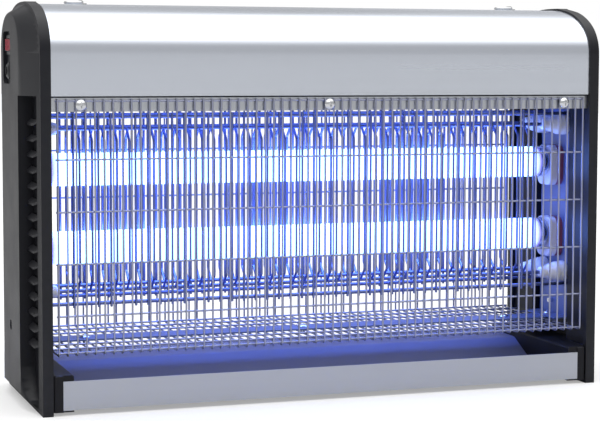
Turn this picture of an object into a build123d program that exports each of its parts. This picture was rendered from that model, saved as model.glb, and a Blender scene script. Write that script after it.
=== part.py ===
"""Two-tube electric bug zapper, open at the front and at the back.

X runs along the tubes, Y goes to the back and Z is up. The origin is under
the middle of the body, on the surface that the two end caps stand on.
"""
from build123d import *
import math
import os

# ---------------------------------------------------------------- body
flange_span = 460.0       # outside faces of the two end-cap flanges
body_depth = 149.0        # front face to back face of the flanges
body_height = 310.0       # crown of the flanges
rim_width = 8.0           # flange, measured along X
rim_wall = 5.0            # flange, measured in from its outline
bulge = 10.0              # how far an end cap stands out from its flange
arch_rise = 40.0          # height of the arched top above its spring line
arch_power = 2.25         # roundness of the arch, 2 is an ellipse
fit_gap = 0.3             # free space between pieces that do not touch
sheet = 1.0               # folded sheet metal

# ---------------------------------------------------------------- end caps
bulge_inset = 2.0         # bulge inside the flange outline, at its foot
bulge_foot = 3.0
strip_width = 74.0        # flat middle strip of the bulge
strip_top_drop = 9.0      # crown of the strip below the flange crown
strip_rise = 30.0
strip_foot = 12.0
bulge_steps = ((0, 0), (0.8, 0.84), (0.92, 0.95), (1, 1))  # way to the strip, way outwards
cap_wall = 2.5
recess_floor = 1.5        # louvre recess floor, in from the flange face
recess_border = 7.5       # rim left in front of the recess
recess_bottom = 5.0
recess_corner = 34.0      # height of the rounded lower corner
louvre_low = 50.0
louvre_pitch = 11.9
louvre_count = 15
louvre_slot = 5.0
louvre_groove = 1.2       # depth of the groove under a hood
hood_reach = 5.0
hood_thickness = 1.6
base_solid = 30.0         # height of the solid foot of an end cap
spigot_length = 7.0       # lip that the cover slides over
spigot_thickness = 2.0
cap_screw_z = 59.0
cap_screw_y = 4.0
screw_well_radius = 4.0

# ---------------------------------------------------------------- cover and chassis
cover_inset = 1.5         # cover inside the flange outline
seam_z = 238.5            # lower edges of the cover
lip_drop = 11.0           # down-turned lips under the cover
plate_half = 27.5         # half width of the side plates
plate_sheet = 1.2
plate_tab = 14.0          # folded ends of the side plates

# ---------------------------------------------------------------- guards
guard_wire = 1.5
guard_pitch = 7.0
guard_count = 63
guard_setback = 2.1       # wire centres behind the flange face
guard_bottom = 45.0
guard_rows = (235.0, 191.4, 152.4, 113.4, 74.4)
guard_rung_setbacks = (4.0, 24.0, 44.0)
guard_end_gap = 4.0       # between the bent ends of the two guards, each side
guard_bend = 2.5
guard_split = 50.0        # height where the upright part of a guard meets its bent foot
rail_half = 12.0
rail_sheet = 1.25
rail_screw_spread = 182.0 # outer rail screws left and right of the middle one
screw_pitch = 199.5       # guard screws left and right of the middle one
screw_offset = 3.5        # keeps the screws between two wires
pan_head_radius = 4.2
pan_head_height = 2.4
screw_radius = 2.0
screw_fit = 0.05

# ---------------------------------------------------------------- high-voltage grids
grid_pitch = 9.8
grid_count = 41
grid_wire = 2.0
bar_diameter = 3.0
grid_plane = 26.3         # wire centres from the middle plane
return_bar_y = 24.2
live_bar_y = 17.0
bar_top = 212.5
bar_bottom = 86.5
return_bar_step = 9.3     # return bars beyond the live ones, clear of the insulators
insulator_length = 24.0
insulator_radius = 9.2
insulator_nose = 5.0
bar_seat = 6.0

# ---------------------------------------------------------------- lamps
lamp_high = 180.0
lamp_low = 118.7
tube_radius = 12.9
cap_face_span = 437.4     # standard 15 W tube, face to face of its caps
lamp_cap_length = 7.6
pin_length = 7.1
pin_radius = 1.17
pin_spacing = 12.7
rotor_radius = 9.0
running_fit = 0.06
holder_width = 26.0
holder_height = 34.0
holder_radius = 7.0

# ---------------------------------------------------------------- tray
tray_low = 4.0
tray_lip = 26.0
tray_block_top = 30.5
tray_block_bottom = 2.6
tray_block_width = 15.6
tray_setback = 0.5        # tray front behind the flange face
block_show = 7.3          # block seen beside the lip
tray_trough = -14.0       # back end of the flat floor
tray_step = 27.0          # where the sloped floor reaches the back deck
tray_deck = 24.0
rib_low = 14.0
rib_height = 3.0
rib_reach = 3.0
rib_half = 62.0

# ---------------------------------------------------------------- switch and inlet
control_y = 11.0
pocket_width = 31.0
pocket_low = 247.0
pocket_high = 287.5
pocket_depth = 3.0
rocker_z = 277.0
rocker_length = 19.0
rocker_height = 12.6
bezel_border = 1.4
bezel_lip = 1.2
switch_depth = 17.0
rocker_tilt = 11.0
gland_z = 257.0
gland_radius = 6.5
gland_bore = 3.6
gland_reach = 3.0

# ---------------------------------------------------------------- hanging rings
hanger_x = 184.0
hanger_y = 0.0
ring_wire = 1.0           # radius of the ring wire
ring_half = 5.6           # half length of the ring's straight side
ring_reach = 12.0
saddle_length = 6.0
saddle_wall = 0.8

# ---------------------------------------------------------------- electrics on the deck
transformer_x = -40.0
core_length = 54.0
core_depth = 24.0
core_height = 46.0
core_leg = 12.0
window_length = 34.0
window_height = 28.0
ballast_places = (60.0, 150.0)
ballast_y = -22.0
ballast_length = 78.0
ballast_depth = 30.0
ballast_height = 28.0
starter_places = (75.0, 135.0)
starter_y = 24.0
starter_radius = 10.6
starter_height = 36.0
terminal_x = -175.0
board_x = -115.0
board_standoff = 6.0
board_sheet = 1.6
capacitor_height = 18.0

# ---------------------------------------------------------------- shared values
half_span = flange_span / 2
half_depth = body_depth / 2
spring_z = body_height - arch_rise
rim_inside = half_span - rim_width
cap_outside = half_span + bulge
strip_inside = cap_outside - cap_wall
cavity_x = half_span - recess_floor - cap_wall
plate_inside = strip_inside - 5.3 - plate_sheet
guard_y = half_depth - guard_setback
guard_span = guard_pitch * (guard_count - 1) + 2 * guard_wire
lip_y = guard_y - 1.4 * guard_wire - fit_gap / 2
rail_top = guard_bottom + guard_wire / 2 + rail_sheet
tray_front = half_depth - tray_setback
lip_half = rim_inside - fit_gap - block_show + 0.1
block_inside = rim_inside - fit_gap - tray_block_width
cap_face = cap_face_span / 2
chassis_top = seam_z - 0.5
cover_crown = body_height - cover_inset

pieces = []


def keep(builder, label):
    """Label a finished piece and remember it for export."""
    builder.part.label = label
    pieces.append(builder.part)


def arch_points(half, spring, rise, steps=7):
    """Points of a quarter superellipse, from the spring line to the crown."""
    turns = [math.pi / 2 * step / steps for step in range(1, steps)]
    share = 2 / arch_power
    middle = [
        (half * math.cos(turn) ** share, spring + rise * math.sin(turn) ** share)
        for turn in turns
    ]
    return [(half, spring), *middle, (0, spring + rise)]


def arch_edges(half, spring, rise):
    """Front and back halves of an arch."""
    back = arch_points(half, spring, rise)
    front = [(-y, z) for y, z in back]
    with BuildLine() as arch:
        Spline(*front, tangents=[(0, 1), (1, 0)])
        Spline(*reversed(back), tangents=[(1, 0), (0, -1)])
    return arch.line


def arch_sketch(plane, half, spring, rise, foot):
    """Closed outline: flat foot, upright sides and an arched top."""
    with BuildSketch(plane) as outline:
        with BuildLine():
            add(arch_edges(half, spring, rise))
            Polyline((half, spring), (half, foot), (-half, foot), (-half, spring))
        make_face()
    return outline.sketch


def flange_sketch(x, inset, foot):
    """Flange outline moved inwards, on an upright plane at x."""
    return arch_sketch(Plane.YZ.offset(x), half_depth - inset, spring_z, arch_rise - inset, foot)


def band_sketch(x, inset, thickness, foot):
    """Arched band inside the flange outline, open at its foot."""
    outer_half = half_depth - inset
    inner_half = outer_half - thickness
    with BuildSketch(Plane.YZ.offset(x)) as outline:
        with BuildLine():
            add(arch_edges(outer_half, spring_z, arch_rise - inset))
            add(arch_edges(inner_half, spring_z, arch_rise - inset - thickness))
            for side in (-1, 1):
                Polyline(
                    (side * outer_half, spring_z),
                    (side * outer_half, foot),
                    (side * inner_half, foot),
                    (side * inner_half, spring_z),
                )
        make_face()
    return outline.sketch


def screw_positions():
    """X places of the three screws of a row, each between two wires."""
    return (-screw_pitch, -screw_offset, screw_pitch)


# ================================================================ end caps
def bulge_body():
    """Outside of the left bulge: slanted sides that round over to a flat strip."""
    strip_half = strip_width / 2
    strip_spring = body_height - strip_top_drop - strip_rise
    foot_half = half_depth - bulge_inset
    foot_rise = arch_rise - bulge_inset
    sections = []
    for share, reach in bulge_steps:
        back = 1 - share
        sections.append(arch_sketch(
            Plane.YZ.offset(-half_span - bulge * reach),
            strip_half * share + foot_half * back,
            strip_spring * share + spring_z * back,
            strip_rise * share + foot_rise * back,
            strip_foot * share + bulge_foot * back,
        ))
    with BuildPart() as body:
        loft(sections, ruled=True)
    return body.part


def recess_tool():
    """Front louvre recess with its rounded lower corner."""
    inner = -strip_width / 2 + 1
    outer = -half_depth + recess_border
    with BuildPart() as tool:
        with BuildSketch(Plane.YZ.offset(-half_span + recess_floor)):
            with BuildLine():
                Polyline(
                    (outer, recess_bottom),
                    (outer, seam_z),
                    (inner, seam_z),
                    (inner, recess_bottom + recess_corner),
                )
                EllipticalCenterArc(
                    (outer, recess_bottom + recess_corner),
                    inner - outer,
                    recess_corner,
                    start_angle=270,
                    arc_size=90,
                )
            make_face()
        extrude(amount=-2 * bulge)
    return tool.part


def louvre_hoods():
    """Sloped hoods over the grooves of the front recess."""
    base = -half_span + recess_floor
    with BuildPart() as hoods:
        for step in range(louvre_count):
            top = louvre_low + louvre_pitch * step + louvre_slot + hood_thickness
            with BuildSketch(Plane.XZ.offset(strip_width / 2 - 1.5)):
                with BuildLine():
                    Polyline(
                        (base + 0.5, top),
                        (base - hood_reach, top - hood_reach),
                        (base - hood_reach, top - hood_reach - hood_thickness),
                        (base + 0.5, top - hood_thickness),
                        close=True,
                    )
                make_face()
            extrude(amount=half_depth - strip_width / 2)
    return hoods.part


def louvre_grooves():
    """Shallow grooves in the recess floor, one under each hood."""
    low = -half_depth + recess_border
    high = -strip_width / 2 - 2
    with BuildPart() as grooves:
        for step in range(louvre_count):
            z = louvre_low + louvre_pitch * step + louvre_slot / 2
            with Locations((-half_span + recess_floor, (low + high) / 2, z)):
                Box(2 * louvre_groove, high - low, louvre_slot)
    return grooves.part


def cover_spigot():
    """Arched lip inside the cover end."""
    band = band_sketch(-rim_inside, cover_inset + sheet + fit_gap, spigot_thickness, seam_z + 2)
    with BuildPart() as lip:
        extrude(band, amount=spigot_length)
    return lip.part


def end_cap_body():
    """Left end cap without its controls."""
    envelope = bulge_body()
    recess = recess_tool()
    with BuildPart() as trimmed:
        add(louvre_hoods())
        add(envelope, mode=Mode.INTERSECT)
    hoods = trimmed.part
    grooves = louvre_grooves()
    spigot = cover_spigot()
    with BuildPart() as cap:
        extrude(flange_sketch(-half_span, 0, 0), amount=rim_width)
        add(envelope)
        add(recess, mode=Mode.SUBTRACT)
        add(recess.mirror(Plane.XZ), mode=Mode.SUBTRACT)
        extrude(flange_sketch(-cavity_x, rim_wall, base_solid), amount=cavity_x, mode=Mode.SUBTRACT)
        strip_low = base_solid
        strip_high = body_height - strip_top_drop - strip_rise / 2 - cap_wall
        strip_reach = strip_inside - half_span + rim_width
        with Locations((-strip_inside + strip_reach / 2, 0, (strip_low + strip_high) / 2)):
            Box(strip_reach, strip_width - 4 * cap_wall, strip_high - strip_low, mode=Mode.SUBTRACT)
        add(hoods)
        add(hoods.mirror(Plane.XZ))
        add(grooves, mode=Mode.SUBTRACT)
        add(grooves.mirror(Plane.XZ), mode=Mode.SUBTRACT)
        add(spigot)
        with Locations((-rim_inside + rib_reach / 2, 0, rib_low + rib_height / 2)):
            Box(rib_reach, 2 * rib_half, rib_height)
        boss_reach = cap_outside - plate_inside - plate_sheet
        with Locations(Pos(-cap_outside + boss_reach / 2, cap_screw_y, cap_screw_z)):
            with Locations(Rot(0, 90, 0)):
                Cylinder(screw_well_radius + 2, boss_reach - 0.6)
        with Locations(Pos(-cap_outside + 1.5, cap_screw_y, cap_screw_z) * Rot(0, 90, 0)):
            Cylinder(screw_well_radius, 3.2, mode=Mode.SUBTRACT)
        with Locations(Pos(-cap_outside, cap_screw_y, cap_screw_z) * Rot(0, 90, 0)):
            Cylinder(screw_radius + screw_fit, 4 * bulge, mode=Mode.SUBTRACT)
    return cap.part


def add_controls(body):
    """Cut the switch and inlet pocket in the left end cap."""
    centre = (pocket_low + pocket_high) / 2
    backing = pocket_depth + cap_wall
    with BuildPart() as cap:
        add(body)
        with Locations((-cap_outside + 1 + backing / 2, control_y, centre - 1)):
            Box(backing - 2, pocket_width + 4, pocket_high - pocket_low + 2)
        with BuildSketch(Plane.YZ.offset(-cap_outside - 1)):
            with Locations((control_y, centre)):
                RectangleRounded(pocket_width, pocket_high - pocket_low, 5)
        extrude(amount=pocket_depth + 1, mode=Mode.SUBTRACT)
        with BuildSketch(Plane.YZ.offset(-cap_outside)):
            with Locations((control_y, rocker_z)):
                Rectangle(rocker_length + 2 * fit_gap, rocker_height + 2 * fit_gap)
        extrude(amount=2 * bulge, mode=Mode.SUBTRACT)
        with Locations(Pos(-cap_outside, control_y, gland_z) * Rot(0, 90, 0)):
            Cylinder(gland_radius - 2, 2 * bulge, mode=Mode.SUBTRACT)
    return cap.part


def make_end_caps():
    """Left cap with the controls, right cap its plain mirror image."""
    body = end_cap_body()
    with BuildPart() as left_end_cap:
        add(add_controls(body))
    keep(left_end_cap, "left_end_cap")
    with BuildPart() as right_end_cap:
        add(body.mirror(Plane.YZ))
    keep(right_end_cap, "right_end_cap")


# ================================================================ cover and chassis
def make_cover():
    """Arched top cover, bent from one sheet."""
    reach = rim_inside - 0.1
    with BuildPart() as top_cover:
        extrude(band_sketch(-reach, cover_inset, sheet, seam_z), amount=2 * reach)
        with Locations((-hanger_x, hanger_y, cover_crown), (hanger_x, hanger_y, cover_crown)):
            Cylinder(screw_radius, 6, mode=Mode.SUBTRACT)
    keep(top_cover, "top_cover")


def make_channel():
    """Chassis channel: flat deck with down-turned front and back lips."""
    deck_bottom = chassis_top - plate_sheet
    lip_low = chassis_top - lip_drop
    with BuildPart() as chassis_channel:
        with Locations((0, 0, chassis_top - plate_sheet / 2)):
            Box(2 * rim_inside - 0.4, 2 * lip_y, plate_sheet)
            Box(2 * plate_inside - 0.2, 2 * plate_half, plate_sheet)
        for side in (-1, 1):
            with Locations((0, side * (lip_y - sheet / 2), (deck_bottom + lip_low) / 2 + 0.2)):
                Box(2 * rim_inside - 0.4, sheet, deck_bottom - lip_low + 0.4)
        corners = chassis_channel.edges().filter_by(Axis.X).group_by(Axis.Z)[-1]
        fillet(corners.sort_by(Axis.Y)[0], radius=0.9)
        corners = chassis_channel.edges().filter_by(Axis.X).group_by(Axis.Z)[-1]
        fillet(corners.sort_by(Axis.Y)[-1], radius=0.9)
        for x in screw_positions():
            with Locations(Pos(x, 0, guard_rows[0] - 3.2) * Rot(90, 0, 0)):
                Cylinder(screw_radius + screw_fit, body_depth, mode=Mode.SUBTRACT)
        tab_x = plate_inside - plate_tab / 2
        with Locations((-tab_x, -15, chassis_top), (-tab_x, 15, chassis_top),
                       (tab_x, -15, chassis_top), (tab_x, 15, chassis_top)):
            Cylinder(screw_radius + screw_fit, 3 * plate_sheet, mode=Mode.SUBTRACT)
        with GridLocations(60, 0, 2, 1):
            with Locations((0, 40, chassis_top)):
                Cylinder(5, 3 * plate_sheet, mode=Mode.SUBTRACT)
    keep(chassis_channel, "chassis_channel")


def side_plate():
    """Left side plate with folded ends at the top and the bottom."""
    top = chassis_top - plate_sheet
    bottom = rail_top
    with BuildPart() as plate:
        with Locations((-plate_inside - plate_sheet / 2, 0, (top + bottom) / 2)):
            Box(plate_sheet, 2 * plate_half, top - bottom)
        tab_x = -plate_inside - plate_sheet + (plate_tab + plate_sheet) / 2
        with Locations((tab_x, 0, top - plate_sheet / 2), (tab_x, 0, bottom + plate_sheet / 2)):
            Box(plate_tab + plate_sheet, 2 * plate_half, plate_sheet)
        hole_x = -plate_inside + plate_tab / 2
        with Locations((hole_x, -15, top), (hole_x, 15, top)):
            Cylinder(screw_radius + screw_fit, 3 * plate_sheet, mode=Mode.SUBTRACT)
        with Locations((hole_x, 0, bottom)):
            Cylinder(screw_radius + screw_fit, 3 * plate_sheet, mode=Mode.SUBTRACT)
        for y, z in [(side * live_bar_y, z) for side in (-1, 1) for z in (bar_top, bar_bottom)]:
            with Locations(Pos(-plate_inside, y, z) * Rot(0, 90, 0)):
                Cylinder(1.5 + screw_fit, 4 * plate_sheet, mode=Mode.SUBTRACT)
        with Locations(Pos(-plate_inside, cap_screw_y, cap_screw_z) * Rot(0, 90, 0)):
            Cylinder(screw_radius + screw_fit, 4 * plate_sheet, mode=Mode.SUBTRACT)
    return plate.part


def make_side_plates():
    """The two side plates."""
    body = side_plate()
    with BuildPart() as left_side_plate:
        add(body)
    keep(left_side_plate, "left_side_plate")
    with BuildPart() as right_side_plate:
        add(body.mirror(Plane.YZ))
    keep(right_side_plate, "right_side_plate")


def make_rail():
    """Flat bottom rail that ties the side plates and holds the guards."""
    with BuildPart() as bottom_rail:
        with Locations((0, 0, rail_top - rail_sheet / 2)):
            Box(2 * plate_inside, 2 * rail_half, rail_sheet)
        hole_x = plate_inside - plate_tab / 2
        for x in (-hole_x, -rail_screw_spread, 0, rail_screw_spread, hole_x):
            with Locations((x, 0, rail_top)):
                Cylinder(screw_radius + screw_fit, 3 * rail_sheet, mode=Mode.SUBTRACT)
    keep(bottom_rail, "bottom_rail")


# ================================================================ guards
def guard_screen():
    """Upright part of the front guard: straight wires with the cross wires behind them."""
    top = guard_rows[0] + 1.5
    radius = guard_wire / 2
    with BuildPart() as screen:
        with Locations((0, -guard_y, (top + guard_split) / 2)):
            with GridLocations(guard_pitch, 0, guard_count, 1):
                Cylinder(radius, top - guard_split)
        with Locations(*[Pos(0, -guard_y + 0.9 * guard_wire, z) * Rot(0, 90, 0) for z in guard_rows]):
            Cylinder(radius, guard_span)
    return screen.part


def guard_foot():
    """Lower part of the front guard: the same wires bent back over the tray, with their rungs."""
    end_y = -rail_half + guard_end_gap * 2
    radius = guard_wire / 2
    with BuildPart() as wire:
        with BuildLine():
            FilletPolyline(
                (0, -guard_y, guard_split),
                (0, -guard_y, guard_bottom),
                (0, end_y, guard_bottom),
                radius=guard_bend,
            )
        with BuildSketch(Plane((0, -guard_y, guard_split), x_dir=(1, 0, 0), z_dir=(0, 0, -1))):
            Circle(radius)
        sweep()
    rung_z = guard_bottom + 0.9 * guard_wire
    with BuildPart() as foot:
        with GridLocations(guard_pitch, 0, guard_count, 1):
            add(wire.part)
        rungs = [(0, -guard_y + setback, rung_z) for setback in guard_rung_setbacks]
        with Locations(*[Pos(*rung) * Rot(0, 90, 0) for rung in rungs]):
            Cylinder(radius, guard_span)
    return foot.part


def make_guards():
    """Front guard in its two parts and their mirror images at the back."""
    for label, body in (("guard", guard_screen()), ("guard_foot", guard_foot())):
        with BuildPart() as front:
            add(body)
        keep(front, f"front_{label}")
        with BuildPart() as rear:
            add(body.mirror(Plane.XZ))
        keep(rear, f"rear_{label}")


def pan_screw(length, radius=screw_radius, head=pan_head_radius):
    """Cross-recess pan head screw, head up, seat of the head at z = 0."""
    with BuildPart() as screw:
        with BuildSketch(Plane.XZ):
            with BuildLine():
                Line((0, 0), (0, pan_head_height))
                ThreePointArc(
                    (0, pan_head_height),
                    (0.62 * head, 0.83 * pan_head_height),
                    (head, 0.25 * pan_head_height),
                )
                Polyline((head, 0.25 * pan_head_height), (head, 0), (0, 0))
            make_face()
        revolve(axis=Axis.Z)
        with Locations((0, 0, -length / 2)):
            Cylinder(radius, length)
        with Locations((0, 0, pan_head_height)):
            Box(head, 0.22 * head, pan_head_height, mode=Mode.SUBTRACT)
            Box(0.22 * head, head, pan_head_height, mode=Mode.SUBTRACT)
    return screw.part


def make_screws():
    """Screws, grouped by what they hold."""
    guard_screw = pan_screw(6)
    face = guard_y + guard_wire / 2
    z = guard_rows[0] - 3.2
    with BuildPart() as guard_screws:
        for x in screw_positions():
            with Locations(Pos(x, -face, z) * Rot(90, 0, 0), Pos(x, face, z) * Rot(-90, 0, 0)):
                add(guard_screw)
    keep(guard_screws, "guard_screws")

    rail_screw = pan_screw(6, head=pan_head_radius + 0.4)
    with BuildPart() as rail_screws:
        for x in (-rail_screw_spread, 0, rail_screw_spread):
            with Locations(Pos(x, 0, rail_top)):
                add(rail_screw)
    keep(rail_screws, "rail_screws")

    hole_x = plate_inside - plate_tab / 2
    chassis_screw = pan_screw(4, head=3.6)
    with BuildPart() as chassis_screws:
        with Locations((-hole_x, -15, chassis_top), (-hole_x, 15, chassis_top),
                       (hole_x, -15, chassis_top), (hole_x, 15, chassis_top),
                       (-hole_x, 0, rail_top + plate_sheet), (hole_x, 0, rail_top + plate_sheet)):
            add(chassis_screw)
    keep(chassis_screws, "chassis_screws")

    cap_screw = pan_screw(bulge, head=3.4)
    seat = cap_outside - 3.1
    with BuildPart() as cap_screws:
        with Locations(Pos(-seat, cap_screw_y, cap_screw_z) * Rot(0, -90, 0),
                       Pos(seat, cap_screw_y, cap_screw_z) * Rot(0, 90, 0)):
            add(cap_screw)
    keep(cap_screws, "cap_screws")


# ================================================================ high-voltage grids
def return_grid():
    """Front comb joined to the chassis: straight wires welded to two bars."""
    top = bar_top + return_bar_step
    bottom = bar_bottom - return_bar_step
    length = top - bottom + 2 * bar_diameter
    with BuildPart() as comb:
        with Locations(*[Pos(0, -return_bar_y, z) * Rot(0, 90, 0) for z in (top, bottom)]):
            Cylinder(bar_diameter / 2, 2 * plate_inside - 0.1)
        with Locations((0, -grid_plane, (bar_top + bar_bottom) / 2)):
            with GridLocations(grid_pitch, 0, grid_count, 1):
                Cylinder(grid_wire / 2, length)
    return comb.part


def live_grid():
    """Front comb on the insulators: wires bent back at both ends to their bars."""
    step = grid_plane - live_bar_y + 0.2
    with BuildPart() as wire:
        with BuildLine():
            FilletPolyline(
                (0, -live_bar_y - 0.2, bar_bottom),
                (0, -grid_plane, bar_bottom + step),
                (0, -grid_plane, bar_top - step),
                (0, -live_bar_y - 0.2, bar_top),
                radius=3,
            )
        with BuildSketch(Plane((0, -live_bar_y - 0.2, bar_bottom), x_dir=(1, 0, 0), z_dir=(0, -1, 1))):
            Circle(grid_wire / 2)
        sweep()
    bar_length = 2 * (plate_inside - insulator_length + bar_seat)
    with BuildPart() as comb:
        with GridLocations(grid_pitch, 0, grid_count - 1, 1):
            add(wire.part)
        with Locations(*[Pos(0, -live_bar_y, z) * Rot(0, 90, 0) for z in (bar_top, bar_bottom)]):
            Cylinder(bar_diameter / 2, bar_length)
    return comb.part


def make_grids():
    """Two combs at the front and their mirror images at the back."""
    for kind, body in (("return", return_grid()), ("live", live_grid())):
        with BuildPart() as front:
            add(body)
        keep(front, f"front_{kind}_grid")
        with BuildPart() as rear:
            add(body.mirror(Plane.XZ))
        keep(rear, f"rear_{kind}_grid")


def insulator():
    """Bell-shaped insulator, foot at z = 0, blind seat for a bar in its nose."""
    top = insulator_length
    with BuildPart() as bell:
        with BuildSketch(Plane.XZ):
            with BuildLine():
                Polyline((0, 0), (insulator_radius - 1.5, 0), (insulator_radius, 1.5), (insulator_radius, 4))
                Spline(
                    (insulator_radius, 4),
                    (insulator_radius - 1.1, 0.52 * top),
                    (insulator_nose, top - 3),
                    tangents=[(0, 1), (-0.4, 1)],
                )
                Polyline((insulator_nose, top - 3), (insulator_nose - 1, top), (0, top), (0, 0))
            make_face()
        revolve(axis=Axis.Z)
        with Locations((0, 0, top - bar_seat / 2)):
            Cylinder(bar_diameter / 2 + screw_fit, bar_seat + 0.1, mode=Mode.SUBTRACT)
        with Locations((0, 0, 3)):
            Cylinder(1.5 + screw_fit, 6, mode=Mode.SUBTRACT)
    return bell.part


def make_insulators():
    """Four insulators on each side plate, and their screws."""
    bell = insulator()
    spots = [(side * live_bar_y, z) for side in (-1, 1) for z in (bar_top, bar_bottom)]
    with BuildPart() as left_insulators:
        with Locations(*[Pos(-plate_inside, y, z) * Rot(0, 90, 0) for y, z in spots]):
            add(bell)
    keep(left_insulators, "left_insulators")
    with BuildPart() as right_insulators:
        with Locations(*[Pos(plate_inside, y, z) * Rot(0, -90, 0) for y, z in spots]):
            add(bell)
    keep(right_insulators, "right_insulators")
    screw = pan_screw(5, radius=1.5, head=2.8)
    seat = plate_inside + plate_sheet
    with BuildPart() as insulator_screws:
        with Locations(*[Pos(-seat, y, z) * Rot(0, -90, 0) for y, z in spots]):
            add(screw)
        with Locations(*[Pos(seat, y, z) * Rot(0, 90, 0) for y, z in spots]):
            add(screw)
    keep(insulator_screws, "insulator_screws")


# ================================================================ lamps
def lampholder():
    """Left lampholder: rounded body with a bore for the rotor, z = 0 on the tube axis."""
    depth = plate_inside - cap_face - fit_gap
    with BuildPart() as holder:
        with BuildSketch(Plane.YZ.offset(-plate_inside)):
            with Locations((0, -3)):
                RectangleRounded(holder_width, holder_height, holder_radius)
        extrude(amount=depth)
        rim = holder.faces().sort_by(Axis.X)[-1].edges()
        fillet(rim, radius=1.5)
        with Locations(Pos(-cap_face - fit_gap, 0, 0) * Rot(0, 90, 0)):
            Cylinder(rotor_radius + running_fit, 2 * (depth - 2.5), mode=Mode.SUBTRACT)
        slot_depth = depth - 2.5
        with Locations((-cap_face - fit_gap - slot_depth / 2, 0, holder_height / 2)):
            Box(slot_depth, 3.4, holder_height, mode=Mode.SUBTRACT)
    return holder.part


def rotor():
    """Left rotor: turning disc with a slot for the two lamp pins."""
    depth = plate_inside - cap_face - fit_gap - 2.8
    with BuildPart() as disc:
        with Locations(Pos(-cap_face - fit_gap - depth / 2, 0, 0) * Rot(0, 90, 0)):
            Cylinder(rotor_radius, depth)
        with Locations((-cap_face - fit_gap - depth / 2 + 1, 0, 0)):
            Box(depth, 3.0, 2 * rotor_radius + 2, mode=Mode.SUBTRACT)
    return disc.part


def lamp_cap():
    """Left lamp cap with its two pins one above the other."""
    inner = cap_face - lamp_cap_length
    with BuildPart() as cap:
        with BuildSketch(Plane.YZ.offset(-cap_face)):
            Circle(tube_radius + 0.2)
        extrude(amount=lamp_cap_length)
        fillet(cap.faces().sort_by(Axis.X)[0].edges(), radius=1.2)
        with Locations(Pos(-inner - 1.5, 0, 0) * Rot(0, 90, 0)):
            Cylinder(tube_radius - 1, 3.1, mode=Mode.SUBTRACT)
        reach = pin_length + 1
        with Locations(*[Pos(-cap_face - pin_length + reach / 2, 0, side * pin_spacing / 2)
                         * Rot(0, 90, 0) for side in (-1, 1)]):
            Cylinder(pin_radius, reach)
    return cap.part


def lamp_glass():
    """Closed glass tube between the two caps."""
    reach = cap_face - lamp_cap_length
    with BuildPart() as glass:
        with BuildSketch(Plane.YZ.offset(-reach)):
            Circle(tube_radius)
        extrude(amount=2 * reach)
    return glass.part


def make_lamps():
    """Upper and lower lamps with their holders and rotors."""
    holder = lampholder()
    disc = rotor()
    cap = lamp_cap()
    glass = lamp_glass()
    for level, z in (("upper", lamp_high), ("lower", lamp_low)):
        lift = Pos(0, 0, z)
        with BuildPart() as left_holder:
            add(lift * holder)
        keep(left_holder, f"{level}_left_lampholder")
        with BuildPart() as right_holder:
            add(lift * holder.mirror(Plane.YZ))
        keep(right_holder, f"{level}_right_lampholder")
        with BuildPart() as rotors:
            add(lift * disc)
            add(lift * disc.mirror(Plane.YZ))
        keep(rotors, f"{level}_lamp_rotors")
        with BuildPart() as caps:
            add(lift * cap)
            add(lift * cap.mirror(Plane.YZ))
        keep(caps, f"{level}_lamp_caps")
        with BuildPart() as tube:
            add(lift * glass)
        keep(tube, f"{level}_lamp_tube")


# ================================================================ tray
def make_tray_pan():
    """Catch tray bent from sheet: front lip, trough, sloped floor, back deck and lip."""
    low = tray_low + sheet / 2
    front = tray_front - sheet / 2
    with BuildPart() as tray_pan:
        with BuildSketch(Plane.YZ.offset(-block_inside)):
            with BuildLine():
                middle = FilletPolyline(
                    (-front, tray_lip - sheet),
                    (-front, low),
                    (tray_trough, low),
                    (tray_step, tray_deck),
                    (front, tray_deck + 1),
                    (front, tray_low),
                    radius=(1.6, 14, 9, 1.6),
                )
                offset(middle, amount=sheet / 2, side=Side.BOTH)
            make_face()
        extrude(amount=2 * block_inside)
        for side in (-1, 1):
            with Locations((0, side * (tray_front - sheet / 2), (tray_low + tray_lip) / 2)):
                Box(2 * lip_half, sheet, tray_lip - tray_low)
    keep(tray_pan, "tray_pan")


def tray_block():
    """Left tray end: moulded block with a guide groove and a notch for the lips."""
    outer = rim_inside - fit_gap
    height = tray_block_top - tray_block_bottom
    length = 2 * tray_front
    with BuildPart() as block:
        with Locations((-outer + tray_block_width / 2, 0, (tray_block_top + tray_block_bottom) / 2)):
            Box(tray_block_width, length, height)
        fillet(block.edges().filter_by(Axis.Z), radius=2)
        fillet(block.faces().sort_by(Axis.Z)[-1].edges(), radius=1.5)
        notch = tray_block_width - (outer - lip_half) + 0.05
        for side in (-1, 1):
            with Locations((-lip_half + notch / 2, side * (tray_front - sheet / 2), tray_lip / 2)):
                Box(notch + 0.1, sheet + 0.1, 2 * tray_lip, mode=Mode.SUBTRACT)
        groove = rib_reach + fit_gap
        start = -rib_half - fit_gap
        with Locations((-outer + (groove - fit_gap) / 2, (start + tray_front) / 2 + 1,
                        rib_low + rib_height / 2)):
            Box(groove - fit_gap + 0.6, tray_front - start + 2, rib_height + 2 * fit_gap,
                mode=Mode.SUBTRACT)
    return block.part


def make_tray_ends():
    """The two tray end blocks."""
    body = tray_block()
    with BuildPart() as tray_left_end:
        add(body)
    keep(tray_left_end, "tray_left_end")
    with BuildPart() as tray_right_end:
        add(body.mirror(Plane.YZ))
    keep(tray_right_end, "tray_right_end")


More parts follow.
